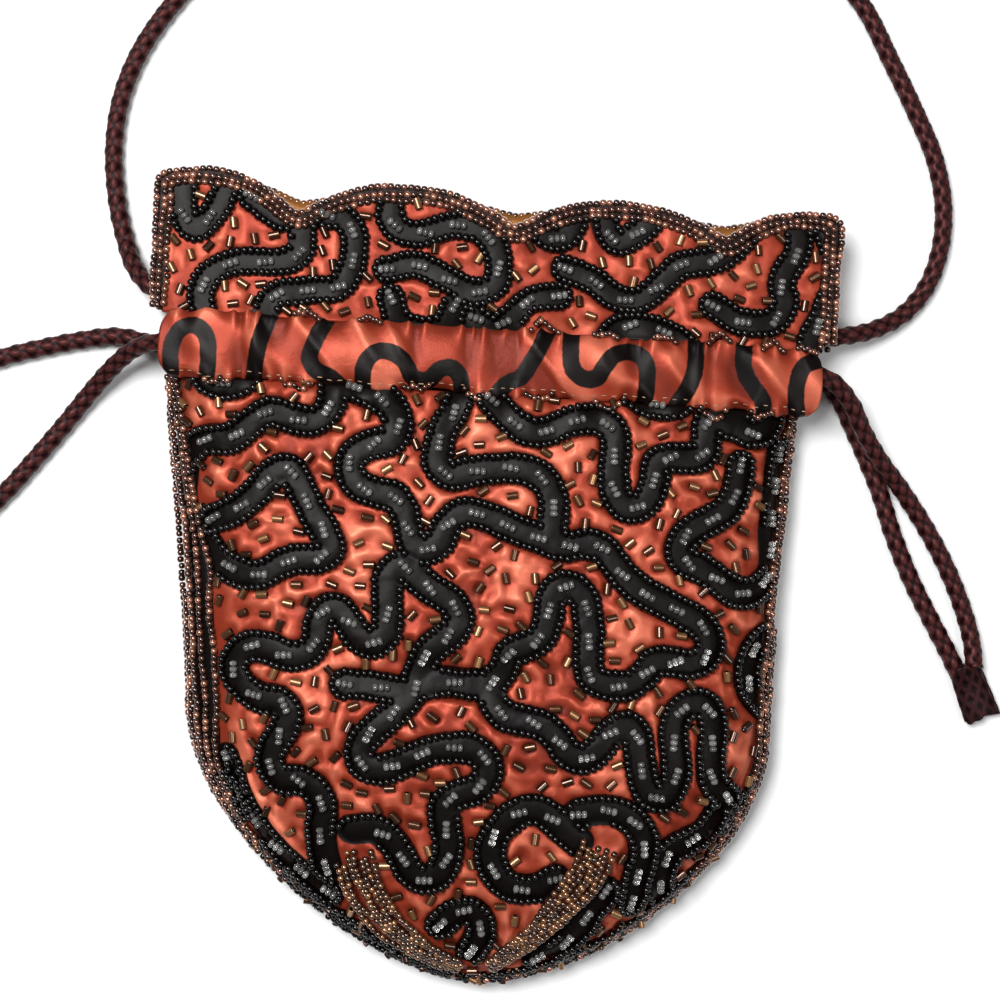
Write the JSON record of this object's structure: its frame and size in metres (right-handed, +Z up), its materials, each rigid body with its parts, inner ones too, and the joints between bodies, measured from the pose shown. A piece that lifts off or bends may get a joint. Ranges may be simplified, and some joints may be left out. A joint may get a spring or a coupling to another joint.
{
  "type": "beaded drawstring purse",
  "caption": "Soft satin evening pouch lying on its back, with a gathered drawstring casing, a scalloped heading, bead bands over its seams, a draw cord and a cord strap.",
  "frame": {"origin": "on the surface that the purse lies on, under the middle of its length and width without its cords", "axes": "+Z up out of the front panel, +Y from the bottom point to the mouth, +X to the purse's right seen from the front"},
  "size_m": [0.2867, 0.2868, 0.0261],
  "materials": {
    "printed_satin": "orange satin with a black printed meander, sewn over with glass beads",
    "bronze_beads": "bronze-lined glass seed beads in close rows",
    "braided_cord": "burgundy round braid, slightly lustrous"
  },
  "bodies": {
    "root": {"front_panel": "printed_satin", "back_panel": "printed_satin", "front_casing": "printed_satin", "back_casing": "printed_satin", "front_heading": "printed_satin", "back_heading": "printed_satin", "front_edging": "bronze_beads", "back_edging": "bronze_beads", "left_seam_band": "bronze_beads", "right_seam_band": "bronze_beads", "left_base_band": "bronze_beads", "right_base_band": "bronze_beads", "draw_cord": "braided_cord", "cord_end": "braided_cord", "strap": "braided_cord"}
  },
  "joints": []
}
